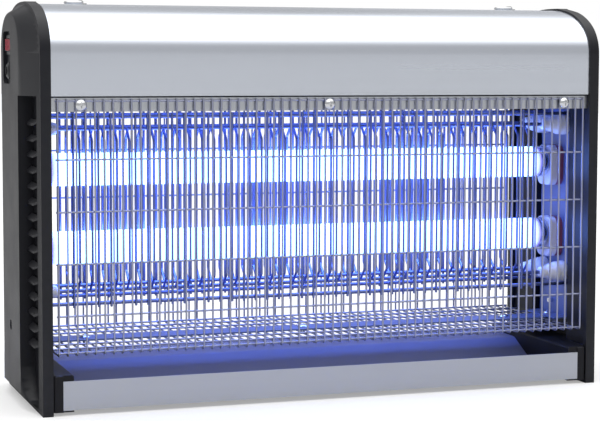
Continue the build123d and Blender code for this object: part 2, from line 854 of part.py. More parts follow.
# ================================================================ switch and inlet
def make_switch():
    """Rocker switch: bezel and body in one, rocker on a pivot across it."""
    face = cap_outside - pocket_depth
    inner_length = rocker_length - 2 * bezel_border
    inner_height = rocker_height - 2 * bezel_border
    with BuildPart() as switch_body:
        with BuildSketch(Plane.YZ.offset(-face - bezel_lip)):
            with Locations((control_y, rocker_z)):
                RectangleRounded(rocker_length + 2.4, rocker_height + 2.4, 1.5)
        extrude(amount=bezel_lip)
        with BuildSketch(Plane.YZ.offset(-face)):
            with Locations((control_y, rocker_z)):
                Rectangle(rocker_length, rocker_height)
        extrude(amount=switch_depth)
        with BuildSketch(Plane.YZ.offset(-face - bezel_lip)):
            with Locations((control_y, rocker_z)):
                Rectangle(inner_length, inner_height)
        extrude(amount=switch_depth - 4, mode=Mode.SUBTRACT)
        for y in (control_y - 6, control_y, control_y + 6):
            with Locations((-face + switch_depth + 3.5, y, rocker_z)):
                Box(7, 0.8, 4.8)
    keep(switch_body, "switch_body")

    pivot_x = -face + 3
    wing = math.radians(rocker_tilt)
    half = inner_length / 2 - 0.9
    with BuildPart() as switch_rocker:
        with BuildSketch(Plane.XY.offset(rocker_z - inner_height / 2 + fit_gap)):
            with BuildLine():
                ThreePointArc(
                    (pivot_x - 2.6, control_y - half),
                    (pivot_x - 3.5, control_y),
                    (pivot_x - 6.0, control_y + half),
                )
                Polyline(
                    (pivot_x - 6.0, control_y + half),
                    (pivot_x + 1.5 - half * math.tan(wing), control_y + half),
                    (pivot_x + 3, control_y),
                    (pivot_x - 0.6, control_y - half),
                    (pivot_x - 2.6, control_y - half),
                )
            make_face()
        extrude(amount=inner_height - 2 * fit_gap)
    keep(switch_rocker, "switch_rocker")


def make_gland():
    """Cable inlet bushing, its bore left empty."""
    face = cap_outside - pocket_depth
    with BuildPart() as cable_gland:
        with BuildSketch(Plane.XY):
            with BuildLine():
                Polyline(
                    (gland_bore, -cap_wall - 4),
                    (gland_radius - 2.3, -cap_wall - 4),
                    (gland_radius - 2.3, 0),
                    (gland_radius, 0),
                    (gland_radius, 1.6),
                    (gland_radius - 1.8, gland_reach),
                    (gland_bore, gland_reach),
                    close=True,
                )
            make_face()
        revolve(axis=Axis.Y)
    body = Pos(-face, control_y, gland_z) * Rot(0, 0, 90) * cable_gland.part
    with BuildPart() as placed:
        add(body)
    keep(placed, "cable_gland")


# ================================================================ hanging rings
def make_hangers():
    """Folding rings in riveted saddles on the crown of the cover."""
    bar_z = cover_crown + ring_wire + 0.35
    bore = ring_wire + running_fit
    with BuildPart() as ring:
        with BuildLine(Plane.XY):
            FilletPolyline(
                (0, 0),
                (0, ring_half),
                (-ring_reach, ring_half),
                (-ring_reach, -ring_half),
                (0, -ring_half),
                (0, 0.001),
                radius=(1.4, ring_half - 0.4, ring_half - 0.4, 1.4),
            )
        with BuildSketch(Plane.XZ):
            Circle(ring_wire)
        sweep()
    for side, x in (("left", -hanger_x), ("right", hanger_x)):
        with BuildPart() as placed:
            add(Pos(x, hanger_y, bar_z) * ring.part)
        keep(placed, f"{side}_hanging_ring")
    with BuildPart() as hanger_saddles:
        for x in (-hanger_x, hanger_x):
            with BuildSketch(Plane.XZ.offset(-hanger_y - saddle_length / 2)):
                with Locations((x, bar_z)):
                    Circle(bore + saddle_wall)
                with Locations((x + 2.2, cover_crown + saddle_wall / 2 + 0.1)):
                    Rectangle(4.4, saddle_wall)
                with Locations((x, bar_z)):
                    Circle(bore, mode=Mode.SUBTRACT)
            extrude(amount=saddle_length)
        with Locations((-hanger_x, hanger_y, cover_crown - 5), (hanger_x, hanger_y, cover_crown - 5)):
            Box(20, 20, 10, mode=Mode.SUBTRACT)
    keep(hanger_saddles, "hanger_saddles")


# ================================================================ electrics in the top bay
def make_transformer():
    """Shell core around a moulded winding."""
    core_z = chassis_top + 3 + core_height / 2
    with BuildPart() as transformer_core:
        with Locations((transformer_x, 0, core_z)):
            Box(core_length, core_depth, core_height)
            Box(window_length, 2 * core_depth, window_height, mode=Mode.SUBTRACT)
            Box(core_leg, core_depth, core_height)
        with Locations((transformer_x, 0, chassis_top + 1.5)):
            Box(core_length + 20, core_depth - 2, 3)
    keep(transformer_core, "transformer_core")
    winding_height = window_height - 0.8
    with BuildPart() as transformer_winding:
        with BuildSketch(Plane.XY.offset(core_z - winding_height / 2)):
            with Locations((transformer_x, 0)):
                RectangleRounded(window_length - 0.6, 44, 8)
                Rectangle(core_leg + 0.6, core_depth + 0.6, mode=Mode.SUBTRACT)
        extrude(amount=winding_height)
    keep(transformer_winding, "transformer_winding")


def make_ballasts():
    """One ballast for each lamp, with a foot that reaches out at both ends."""
    for name, x in zip(("upper_lamp_ballast", "lower_lamp_ballast"), ballast_places):
        with BuildPart() as ballast:
            with Locations((x, ballast_y, chassis_top + ballast_height / 2)):
                Box(ballast_length, ballast_depth, ballast_height)
            fillet(ballast.edges().filter_by(Axis.X), radius=3)
            with Locations((x, ballast_y, chassis_top + 1)):
                Box(ballast_length + 8, ballast_depth - 10, 2)
        keep(ballast, name)


def make_starters():
    """Starters standing in round sockets behind the ballasts."""
    socket_radius = starter_radius + 2.4
    with BuildPart() as starter_sockets:
        with Locations(*[(x, starter_y, chassis_top + 5) for x in starter_places]):
            Cylinder(socket_radius, 10)
        with Locations(*[(x, starter_y, chassis_top + 7) for x in starter_places]):
            Cylinder(starter_radius + fit_gap, 8, mode=Mode.SUBTRACT)
    keep(starter_sockets, "starter_sockets")
    with BuildPart() as starters:
        with Locations(*[(x, starter_y, chassis_top + 3.3 + starter_height / 2) for x in starter_places]):
            Cylinder(starter_radius, starter_height)
        fillet(starters.faces().group_by(Axis.Z)[-1].edges(), radius=2)
    keep(starters, "starters")


def make_wiring_parts():
    """Terminal block, and the voltage multiplier's board with its capacitors."""
    with BuildPart() as terminal_block:
        with Locations((terminal_x, 0, chassis_top + 8)):
            Box(18, 48, 16)
        with GridLocations(0, 12, 1, 4):
            with Locations((terminal_x, 0, chassis_top + 14)):
                Cylinder(3, 6, mode=Mode.SUBTRACT)
    keep(terminal_block, "terminal_block")
    with BuildPart() as multiplier_board:
        with Locations((board_x, 0, chassis_top + board_standoff + board_sheet / 2)):
            Box(60, 70, board_sheet)
        with Locations((board_x, 0, chassis_top + board_standoff / 2)):
            with GridLocations(50, 60, 2, 2):
                Cylinder(3, board_standoff)
    keep(multiplier_board, "multiplier_board")
    board_top = chassis_top + board_standoff + board_sheet
    with BuildPart() as board_capacitors:
        with Locations((board_x, 0, board_top + capacitor_height / 2)):
            with GridLocations(28, 24, 2, 2):
                Cylinder(8, capacitor_height)
    keep(board_capacitors, "board_capacitors")


make_end_caps()
make_cover()
make_channel()
make_side_plates()
make_rail()
make_guards()
make_screws()
make_grids()
make_insulators()
make_lamps()
make_tray_pan()
make_tray_ends()
make_switch()
make_gland()
make_hangers()
make_transformer()
make_ballasts()
make_starters()
make_wiring_parts()

os.makedirs("parts", exist_ok=True)
for piece in pieces:
    export_step(piece, f"parts/{piece.label}.step")
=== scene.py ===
import math

import bmesh
import bpy
import numpy as np
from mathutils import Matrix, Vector


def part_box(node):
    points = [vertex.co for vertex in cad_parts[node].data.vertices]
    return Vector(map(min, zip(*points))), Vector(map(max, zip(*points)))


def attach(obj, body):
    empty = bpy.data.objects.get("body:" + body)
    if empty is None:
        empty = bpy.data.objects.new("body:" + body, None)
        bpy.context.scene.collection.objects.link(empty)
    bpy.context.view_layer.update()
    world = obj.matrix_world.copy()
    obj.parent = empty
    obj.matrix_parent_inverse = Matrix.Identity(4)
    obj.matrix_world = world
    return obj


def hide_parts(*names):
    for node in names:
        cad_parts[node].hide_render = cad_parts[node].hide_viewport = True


bl_info = {
    "name": "Electric bug zapper",
    "version": (1, 0, 0),
    "blender": (4, 5, 0),
    "location": "View3D > Sidebar > Bug zapper",
    "description": "Builds the surfaces, finishes and stage of a two-tube electric bug zapper",
    "category": "Add Mesh",
}

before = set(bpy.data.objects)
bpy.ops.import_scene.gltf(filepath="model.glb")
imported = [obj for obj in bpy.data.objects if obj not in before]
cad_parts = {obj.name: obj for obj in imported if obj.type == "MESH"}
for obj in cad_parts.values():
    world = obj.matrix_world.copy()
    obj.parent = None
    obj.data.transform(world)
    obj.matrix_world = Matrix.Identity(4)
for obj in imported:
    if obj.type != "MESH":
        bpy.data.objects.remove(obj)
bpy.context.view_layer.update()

SAME_POINT = 1e-6  # points nearer than this, in metres, are joined
ONE_FLAT = math.radians(0.05)  # faces that turn by less than this are merged into one
COPY_SMOOTH = 28.0  # degrees up to which a copied node's edges are shaded smooth
MM_PER_METRE = 1000.0
GROUPS = {}
MATERIALS = {}


def box_of(nodes):
    """Lowest and highest corner of several CAD nodes together."""
    corners = np.array([[tuple(corner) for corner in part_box(node)] for node in nodes])
    return Vector(corners.min((0, 1))), Vector(corners.max((0, 1)))


# ---------------------------------------------------------------- surfaces worked out with numpy
def ring_faces(rings, sides, closed=False):
    """Quads between rings of points that are numbered ring by ring.

    Face (i, j) joins points (i, j), (i, j + 1), (i + 1, j + 1) and (i + 1, j). The last point
    of a ring is followed by its first, and in a closed loop the last ring by the first.
    """
    i, j = np.meshgrid(np.arange(rings - 1 + closed), np.arange(sides), indexing="ij")
    i, j = i.ravel(), j.ravel()
    ring, side = (i + 1) % rings, (j + 1) % sides
    return np.stack([i * sides + j, i * sides + side, ring * sides + side, ring * sides + j], 1)


def tube(path, radius, binormal, sides, closed=False):
    """Round wire along a path that lies in one plane.

    Point (s, a) = path(s) + radius * (cos a * normal(s) + sin a * binormal), where normal(s)
    is the binormal crossed with the path's direction. An open wire ends in a small dome: its
    last rings are 1, 0.7 and 0 times the radius, the first of them 0.3 radius before the end.
    """
    path = np.asarray(path, float)
    if closed:
        along = np.roll(path, -1, 0) - np.roll(path, 1, 0)
        share = np.ones(len(path))
    else:
        along = np.gradient(path, axis=0)
        start, end = along[0] / np.linalg.norm(along[0]), along[-1] / np.linalg.norm(along[-1])
        dome = radius * 0.3
        path = np.vstack([path[:1], path[:1], path[:1] + start * dome, path[1:-1],
                          path[-1:] - end * dome, path[-1:], path[-1:]])
        along = np.vstack([along[:1]] * 3 + [along[1:-1]] + [along[-1:]] * 3)
        share = np.ones(len(path))
        share[[0, -1]] = 0
        share[[1, -2]] = 0.7
    along = along / np.linalg.norm(along, axis=1, keepdims=True)
    binormal = np.asarray(binormal, float)
    normal = np.cross(binormal, along)
    angle = np.linspace(0, 2 * np.pi, sides, endpoint=False)
    ring = np.cos(angle)[None, :, None] * normal[:, None] + np.sin(angle)[None, :, None] * binormal
    points = path[:, None] + radius * share[:, None, None] * ring
    return points.reshape(-1, 3), ring_faces(len(path), sides, closed)


def cross_wire(low, high, radius, sides):
    """Straight wire along X from one side of a box to the other, at Y 0 and Z 0."""
    return tube([(low.x, 0, 0), (0, 0, 0), (high.x, 0, 0)], radius, (0, 0, 1), sides)


def lathe(profile, centre, axis, sides):
    """Turned shape. The profile is rows of (way along the axis, radius).

    Point (s, a) = centre + along(s) * axis + radius(s) * (cos a * u + sin a * v), where u and v
    stand square to the axis. A radius of 0 closes the shape at a pole.
    """
    profile = np.asarray(profile, float)
    axis = np.asarray(axis, float)
    u = np.roll(axis, 1)
    v = np.cross(axis, u)
    angle = np.linspace(0, 2 * np.pi, sides, endpoint=False)
    ring = np.cos(angle)[:, None] * u + np.sin(angle)[:, None] * v
    points = np.asarray(centre, float) + profile[:, None, :1] * axis + profile[:, None, 1:] * ring
    return points.reshape(-1, 3), ring_faces(len(profile), sides)


def evenly(count, pitch):
    """Places at one pitch, centred on 0: place(k) = (k - (count - 1) / 2) * pitch."""
    return (np.arange(count) - (count - 1) / 2) * pitch


def repeated(piece, offsets):
    """Copies of one surface, moved by each row of offsets."""
    points, faces = piece
    offsets = np.asarray(offsets, float)
    moved = points[None] + offsets[:, None]
    numbered = faces[None] + (np.arange(len(offsets)) * len(points))[:, None, None]
    return moved.reshape(-1, 3), numbered.reshape(-1, faces.shape[1])


def repeated_along_x(piece, places):
    """Copies of one surface at each place along X."""
    return repeated(piece, np.outer(places, (1.0, 0.0, 0.0)))


def rounded_path(corners, radius):
    """Points of a line whose corners are arcs.

    At a corner the arc starts radius * tan(turn / 2) before it. Its points are
    centre + radius * (sin t * forward - cos t * to_centre) for t from 0 to the turn.
    """
    corners = np.asarray(corners, float)
    points = [corners[0]]
    for before, corner, after in zip(corners, corners[1:], corners[2:]):
        forward = (corner - before) / np.linalg.norm(corner - before)
        onward = (after - corner) / np.linalg.norm(after - corner)
        turn = math.acos(np.clip(forward @ onward, -1, 1))
        start = corner - forward * radius * math.tan(turn / 2)
        to_centre = onward - forward * (forward @ onward)
        to_centre /= np.linalg.norm(to_centre)
        t = np.linspace(0, turn, 6)[:, None]
        centre = start + to_centre * radius
        points.extend(centre + radius * (-np.cos(t) * to_centre + np.sin(t) * forward))
    points.append(corners[-1])
    return np.array(points)


def arch(half, spring, rise, foot, power):
    """Arched band's section from its front foot over the crown to its back foot.

    The top is a superellipse: y = half * cos(t) ^ (2 / power) and
    z = spring + rise * sin(t) ^ (2 / power), with upright sides below the spring line.
    """
    side_steps = 7
    t = np.linspace(0, np.pi / 2, 40)
    y = np.concatenate([np.full(side_steps, half), half * np.cos(t) ** (2 / power)])
    z = np.concatenate([np.linspace(foot, spring, side_steps + 1)[:-1],
                        spring + rise * np.sin(t) ** (2 / power)])
    front = np.stack([-y, z], 1)
    back = np.stack([y, z], 1)[::-1][1:]
    return np.concatenate([front, back])


# ---------------------------------------------------------------- pieces on the frame
def add_piece(name, surfaces, finish, nodes, body="housing", smooth_angle=40.0):
    """One closed mesh from several surfaces, riding on a body and standing for CAD nodes."""
    mesh = bpy.data.meshes.new(name)
    start, points, faces = 0, [], []
    for surface_points, surface_faces in surfaces:
        points.append(surface_points)
        faces.extend((surface_faces + start).tolist())
        start += len(surface_points)
    mesh.from_pydata(np.concatenate(points).tolist(), [], faces)
    shell = bmesh.new()
    shell.from_mesh(mesh)
    bmesh.ops.remove_doubles(shell, verts=shell.verts, dist=SAME_POINT)
    bmesh.ops.recalc_face_normals(shell, faces=shell.faces)
    shell.to_mesh(mesh)
    shell.free()
    return finished(name, mesh, body, MATERIALS[finish], nodes, smooth_angle)


def finished(name, mesh, body, material, nodes, smooth_angle):
    """Link a mesh, shade it smooth between its sharp edges and place it on its body."""
    mesh.polygons.foreach_set("use_smooth", np.ones(len(mesh.polygons), bool))
    mesh.set_sharp_from_angle(angle=math.radians(smooth_angle))
    mesh.materials.clear()
    mesh.materials.append(material)
    piece = bpy.data.objects.new(name, mesh)
    bpy.context.scene.collection.objects.link(piece)
    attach(piece, body)
    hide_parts(*nodes)
    return piece


def smoothed_copy(node, finish, slot=None, body="housing", edge=0.0):
    """Copy of a CAD node with its triangles joined, flat areas made one face and edges eased."""
    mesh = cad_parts[node].data.copy()
    mesh.name = node + "_surface"
    shell = bmesh.new()
    shell.from_mesh(mesh)
    bmesh.ops.remove_doubles(shell, verts=shell.verts, dist=SAME_POINT)
    bmesh.ops.dissolve_limit(shell, angle_limit=ONE_FLAT, verts=shell.verts, edges=shell.edges)
    shell.to_mesh(mesh)
    shell.free()
    for layer in list(mesh.uv_layers):
        mesh.uv_layers.remove(layer)
    material, slot = MATERIALS[finish], slot or finish
    piece = finished(node + "_surface", mesh, body, material, (node,), COPY_SMOOTH)
    even = piece.modifiers.new("large faces stay flat", "WEIGHTED_NORMAL")
    even.keep_sharp = True
    even.weight = 50
    if edge:
        ease = piece.modifiers.new("eased edges", "BEVEL")
        ease.width = edge
        ease.segments = 2
        ease.limit_method = "ANGLE"
        ease.angle_limit = math.radians(40)
        ease.use_clamp_overlap = True
        ease.harden_normals = False
    return piece


# ---------------------------------------------------------------- shader helpers
def add_node(tree, kind, inputs=None, **options):
    """A shader node with its options, and its inputs either set or linked."""
    made = tree.nodes.new(kind)
    for key, value in options.items():
        setattr(made, key, value)
    for socket, value in (inputs or {}).items():
        if isinstance(value, bpy.types.NodeSocket):
            tree.links.new(value, made.inputs[socket])
        else:
            made.inputs[socket].default_value = value
    return made


def maths(tree, operation, *values):
    """Result of one sum on numbers or other nodes' results."""
    inputs = dict(enumerate(values))
    return add_node(tree, "ShaderNodeMath", inputs, operation=operation).outputs[0]


def object_place(tree):
    """Place of a point on its piece, in metres."""
    return add_node(tree, "ShaderNodeTexCoord").outputs["Object"]


def split(tree, vector):
    """The X, Y and Z of a vector."""
    return add_node(tree, "ShaderNodeSeparateXYZ", {"Vector": vector}).outputs


def noise(tree, place, scale, detail):
    """Cloudy noise from 0 to 1, with so many clouds to the metre."""
    inputs = {"Vector": place, "Scale": scale, "Detail": detail}
    return add_node(tree, "ShaderNodeTexNoise", inputs).outputs["Fac"]


def share_between(tree, value, start, end):
    """0 up to the start and 1 from the end on, with a straight slope between them."""
    inputs = {"Value": value, "From Min": start, "From Max": end}
    return add_node(tree, "ShaderNodeMapRange", inputs).outputs[0]


def scaled(tree, value, low, high):
    """Value from 0 to 1 spread over the range from low to high."""
    inputs = {"Value": value, "To Min": low, "To Max": high}
    return add_node(tree, "ShaderNodeMapRange", inputs).outputs[0]


def bump(tree, height, strength, distance):
    """Normal from a height."""
    inputs = {"Height": height, "Strength": strength, "Distance": distance}
    return add_node(tree, "ShaderNodeBump", inputs).outputs["Normal"]


def ramp(tree, factor, stops):
    """Colour ramp with the given (place, colour) stops."""
    made = add_node(tree, "ShaderNodeValToRGB", {"Fac": factor})
    elements = made.color_ramp.elements
    made.color_ramp.interpolation = "LINEAR"
    while len(elements) < len(stops):
        elements.new(0.5)
    for element, (place, colour) in zip(elements, stops):
        element.position = place
        element.color = (*colour, 1)
    return made.outputs["Color"]


def mix_colour(tree, factor, first, second):
    """Colour that goes from the first to the second as the mask goes from 0 to 1."""
    made = tree.nodes.new("ShaderNodeMix")
    made.data_type = "RGBA"
    tree.links.new(factor, made.inputs[0])
    for socket, value in ((made.inputs[6], first), (made.inputs[7], second)):
        if isinstance(value, bpy.types.NodeSocket):
            tree.links.new(value, socket)
        else:
            socket.default_value = (*value, 1)
    return made.outputs[2]


def shade(colour, factor):
    """Colour made darker or lighter by a factor, up to full."""
    return tuple(min(1, channel * factor) for channel in colour)


def new_group(name, inputs, outputs):
    """Empty node group with float inputs (name, default, lowest, highest) and float outputs."""
    tree = bpy.data.node_groups.new(name, "ShaderNodeTree")
    for label, default, low, high in inputs:
        socket = tree.interface.new_socket(label, in_out="INPUT", socket_type="NodeSocketFloat")
        socket.default_value, socket.min_value, socket.max_value = default, low, high
    for label in outputs:
        tree.interface.new_socket(label, in_out="OUTPUT", socket_type="NodeSocketFloat")
    given, out = tree.nodes.new("NodeGroupInput"), tree.nodes.new("NodeGroupOutput")
    return tree, given.outputs, out.inputs


def group(tree, name, **values):
    """Place one of the shared effects in a material with its own values."""
    made = tree.nodes.new("ShaderNodeGroup")
    made.node_tree = GROUPS[name]
    for label, value in values.items():
        made.inputs[label.replace("_", " ")].default_value = value
    return made.outputs


def new_material(name):
    """Material with a bare Principled shader; returns the material, its tree and the shader."""
    material = bpy.data.materials.new(name)
    material.use_nodes = True
    tree = material.node_tree
    return material, tree, tree.nodes["Principled BSDF"]


# ---------------------------------------------------------------- effects that materials share
def moulded_grain_group():
    """Fine spark-eroded grain of moulded plastic: a height, and a slow mottling of gloss."""
    tree, given, out = new_group(
        "moulded grain",
        [("Grain size", 0.6, 0.05, 20), ("Mottle size", 30, 1, 500)],
        ["Height", "Mottle"],
    )
    place = object_place(tree)
    for size, detail, result in (("Grain size", 3.0, "Height"), ("Mottle size", 4.0, "Mottle")):
        scale = maths(tree, "DIVIDE", MM_PER_METRE, given[size])
        tree.links.new(noise(tree, place, scale, detail), out[result])
    return tree


def brushed_lines_group():
    """Lines that a brush leaves along X: noise stretched by the length ratio that way."""
    tree, given, out = new_group(
        "brushed lines",
        [("Line width", 0.25, 0.02, 5), ("Length ratio", 90, 2, 400)],
        ["Height", "Tone"],
    )
    place = split(tree, object_place(tree))
    short = maths(tree, "DIVIDE", place["X"], given["Length ratio"])
    stretched = add_node(
        tree, "ShaderNodeCombineXYZ", {"X": short, "Y": place["Y"], "Z": place["Z"]}
    ).outputs[0]
    lines = maths(tree, "DIVIDE", MM_PER_METRE, given["Line width"])
    broad_bands = 90.0
    for scale, result in ((lines, "Height"), (broad_bands, "Tone")):
        tree.links.new(noise(tree, stretched, scale, 2.0), out[result])
    return tree


def settled_dust_group():
    """Dust that settles on faces that look up, broken up by noise: a mask from 0 to 1."""
    tree, given, out = new_group(
        "settled dust", [("Amount", 0.3, 0, 1), ("Patch size", 12, 1, 200)], ["Mask"]
    )
    normal = add_node(tree, "ShaderNodeNewGeometry").outputs["Normal"]
    facing_up = share_between(tree, split(tree, normal)["Z"], 0.3, 1.0)
    scale = maths(tree, "DIVIDE", MM_PER_METRE, given["Patch size"])
    patches = noise(tree, object_place(tree), scale, 5.0)
    broken = maths(tree, "MULTIPLY", facing_up, patches)
    tree.links.new(maths(tree, "MULTIPLY", broken, given["Amount"]), out["Mask"])
    return tree


def edge_wear_group():
    """Rubbed edges: a mask from 0 to 1 where the surface is pointed, broken up by noise."""
    tree, given, out = new_group(
        "edge wear", [("Amount", 0.5, 0, 1), ("Start", 0.53, 0.4, 0.9)], ["Mask"]
    )
    pointed = add_node(tree, "ShaderNodeNewGeometry").outputs["Pointiness"]
    full = maths(tree, "ADD", given["Start"], 0.12)
    edges = share_between(tree, pointed, given["Start"], full)
    broken = maths(tree, "MULTIPLY", edges, noise(tree, object_place(tree), 160.0, 5.0))
    tree.links.new(maths(tree, "MULTIPLY", broken, given["Amount"]), out["Mask"])
    return tree


# ---------------------------------------------------------------- materials
def plastic(name, colour, roughness, grain, specular, dust, wear=0.35, transmission=0.0):
    """Moulded plastic: fine grain, mottled gloss, settled dust and paler rubbed edges."""
    material, tree, shader = new_material(name)
    grained = group(tree, "moulded grain", Grain_size=grain)
    dusty = group(tree, "settled dust", Amount=dust)
    worn = group(tree, "edge wear", Amount=wear)
    rubbed = tuple(min(1, channel * 1.6 + 0.03) for channel in colour)
    dust_colour = (0.36, 0.35, 0.33)
    base = mix_colour(tree, grained["Mottle"], shade(colour, 0.82), colour)
    base = mix_colour(tree, worn["Mask"], base, rubbed)
    base = mix_colour(tree, dusty["Mask"], base, dust_colour)
    gloss = scaled(tree, grained["Mottle"], roughness - 0.07, roughness + 0.07)
    tree.links.new(base, shader.inputs["Base Color"])
    tree.links.new(gloss, shader.inputs["Roughness"])
    tree.links.new(bump(tree, grained["Height"], 0.22, 0.00025), shader.inputs["Normal"])
    shader.inputs["Specular IOR Level"].default_value = specular
    shader.inputs["Transmission Weight"].default_value = transmission
    return material


def metal(name, colour, roughness, lines, relief, brushed=False, dust=0.1, wear=0.2,
          anisotropy=0.0, bare=1.0):
    """Bare or plated metal: brushed or mottled, with faint dust and brighter edges."""
    material, tree, shader = new_material(name)
    dusty = group(tree, "settled dust", Amount=dust)
    worn = group(tree, "edge wear", Amount=wear)
    if brushed:
        marks = group(tree, "brushed lines", Line_width=lines)
        tone = marks["Tone"]
    else:
        marks = group(tree, "moulded grain", Grain_size=lines, Mottle_size=9.0)
        tone = marks["Mottle"]
    dust_colour = (0.42, 0.41, 0.40)
    base = mix_colour(tree, tone, shade(colour, 0.9), colour)
    base = mix_colour(tree, worn["Mask"], base, shade(colour, 1.25))
    base = mix_colour(tree, dusty["Mask"], base, dust_colour)
    gloss = scaled(tree, tone, roughness - 0.05, roughness + 0.05)
    tree.links.new(base, shader.inputs["Base Color"])
    tree.links.new(gloss, shader.inputs["Roughness"])
    tree.links.new(bump(tree, marks["Height"], relief, 0.0001), shader.inputs["Normal"])
    shader.inputs["Metallic"].default_value = bare
    shader.inputs["Anisotropic"].default_value = anisotropy
    return material


def lamp_glass(name, glow, strength, half_length, fade_length=0.009):
    """Coated lamp tube: even glow that fades in the last stretch before each cap."""
    material, tree, shader = new_material(name)
    place = object_place(tree)
    away = maths(tree, "ABSOLUTE", split(tree, place)["X"])
    share = share_between(tree, away, half_length - fade_length, half_length)
    coat = mix_colour(tree, noise(tree, place, 60.0, 3.0), (0.82, 0.86, 0.95), (0.9, 0.93, 1.0))
    red, green, blue = glow
    fade = ramp(tree, share, [
        (0.0, glow),
        (0.45, shade(glow, 0.55)),
        (0.78, (red * 0.22, green * 0.12, blue * 0.16)),
        (1.0, (red * 0.05, green * 0.02, blue * 0.03)),
    ])
    tree.links.new(coat, shader.inputs["Base Color"])
    tree.links.new(fade, shader.inputs["Emission Color"])
    shader.inputs["Emission Strength"].default_value = strength
    shader.inputs["Roughness"].default_value = 0.12
    shader.inputs["Coat Weight"].default_value = 0.6
    return material


def ceramic(name, colour):
    """Glazed ceramic: clear glaze over a slightly speckled white body."""
    material, tree, shader = new_material(name)
    grained = group(tree, "moulded grain", Grain_size=1.4, Mottle_size=14.0)
    speckle = ramp(tree, grained["Height"], [(0.0, shade(colour, 0.8)), (0.45, colour)])
    tree.links.new(speckle, shader.inputs["Base Color"])
    tree.links.new(scaled(tree, grained["Mottle"], 0.22, 0.34), shader.inputs["Roughness"])
    tree.links.new(bump(tree, grained["Mottle"], 0.05, 0.001), shader.inputs["Normal"])
    shader.inputs["Coat Weight"].default_value = 0.5
    shader.inputs["Coat Roughness"].default_value = 0.08
    return material


def coated_tray(name, lip_colour, pan_coat_and_lamp_glow, lip_back, edge=0.0001):
    """Tray sheet: bare brushed aluminium on the lip's face, behind it a coat in painted blue lamp
    light.
    """
    material, tree, shader = new_material(name)
    marks = group(tree, "brushed lines", Line_width=0.2)
    dusty = group(tree, "settled dust", Amount=0.12)
    back = split(tree, object_place(tree))["Y"]
    inside = share_between(tree, back, lip_back - edge, lip_back + edge)
    lip = mix_colour(tree, marks["Tone"], shade(lip_colour, 0.92), lip_colour)
    # The pan's blue is painted lamp light on its grey coat, with real dust on top
    pan = mix_colour(tree, dusty["Mask"], pan_coat_and_lamp_glow, (0.30, 0.29, 0.30))
    tree.links.new(mix_colour(tree, inside, lip, pan), shader.inputs["Base Color"])
    tree.links.new(scaled(tree, inside, 0.42, 0.55), shader.inputs["Roughness"])
    tree.links.new(scaled(tree, inside, 0.5, 0.1), shader.inputs["Metallic"])
    tree.links.new(bump(tree, marks["Height"], 0.08, 0.0001), shader.inputs["Normal"])
    return material


def clamp_plastic(name, colour, foot_colour, foot_start, edge=0.0003):
    """Lampholder plastic: pale round the lamp, red-brown where its foot holds the contacts."""
    material, tree, shader = new_material(name)
    grained = group(tree, "moulded grain", Grain_size=0.4)
    away = maths(tree, "ABSOLUTE", split(tree, object_place(tree))["X"])
    foot = share_between(tree, away, foot_start - edge, foot_start + edge)
    tree.links.new(mix_colour(tree, foot, colour, foot_colour), shader.inputs["Base Color"])
    tree.links.new(scaled(tree, grained["Mottle"], 0.28, 0.42), shader.inputs["Roughness"])
    tree.links.new(bump(tree, grained["Height"], 0.15, 0.0002), shader.inputs["Normal"])
    return material


def enamelled_copper(name, colour, turn_pitch=0.0009):
    """Winding of enamelled wire: a sine of the height, one wave for each turn, painted shade in
    the grooves.
    """
    material, tree, shader = new_material(name)
    height = split(tree, object_place(tree))["Z"]
    turns = maths(tree, "MULTIPLY", height, 2 * math.pi / turn_pitch)
    share = share_between(tree, maths(tree, "SINE", turns), -1.0, 1.0)
    # The copper darkens to 0.35 in the grooves between turns: painted shade
    copper = mix_colour(tree, share, shade(colour, 0.35), colour)
    tree.links.new(copper, shader.inputs["Base Color"])
    tree.links.new(bump(tree, share, 0.8, 0.0003), shader.inputs["Normal"])
    shader.inputs["Metallic"].default_value = 0.85
    shader.inputs["Roughness"].default_value = 0.3
    return material


# ---------------------------------------------------------------- sizes and colours for the user
def metres(name, description, default):
    """Size in metres."""
    return bpy.props.FloatProperty(
        name=name, description=description, default=default, unit="LENGTH"
    )


def metre_list(name, description, default):
    """Several sizes in metres."""
    return bpy.props.FloatVectorProperty(
        name=name, description=description, default=default, size=len(default), unit="LENGTH"
    )


def how_many(name, description, default):
    """Whole number of pieces or sides."""
    return bpy.props.IntProperty(name=name, description=description, default=default, min=3)


def number(name, description, default):
    """Plain number."""
    return bpy.props.FloatProperty(name=name, description=description, default=default)


def paint(name, description, default):
    """Colour in linear light."""
    return bpy.props.FloatVectorProperty(
        name=name, description=description, default=default, subtype="COLOR", min=0, max=1
    )


class ZapperWires(bpy.types.PropertyGroup):
    """Wire sizes of the guards and the high-voltage combs"""

    guard_wire: metres("Guard wire", "Diameter of a guard wire", 0.0015)
    guard_pitch: metres("Guard pitch", "Distance between upright guard wires", 0.007)
    guard_count: how_many("Guard wires", "Upright wires in a guard", 63)
    guard_bend: metres("Guard bend", "Radius where an upright turns back", 0.0025)
    guard_rows: metre_list(
        "Guard rows", "Heights of the cross wires", (0.235, 0.1914, 0.1524, 0.1134, 0.0744)
    )
    foot_rows: metre_list(
        "Foot rows", "Cross wires of the foot, back from the screen", (0.004, 0.024, 0.044)
    )
    comb_wire: metres("Comb wire", "Diameter of a high-voltage wire", 0.002)
    comb_bar: metres("Comb bar", "Diameter of a high-voltage bar", 0.003)
    comb_pitch: metres("Comb pitch", "Distance between wires of one comb", 0.0098)
    comb_count: how_many("Return wires", "Wires in a return comb", 41)
    comb_bend: metres("Comb bend", "Radius of the bends in a live wire", 0.003)
    wire_sides: how_many("Wire sides", "Flat sides round a wire", 10)
    bar_sides: how_many("Bar sides", "Flat sides round a bar", 16)


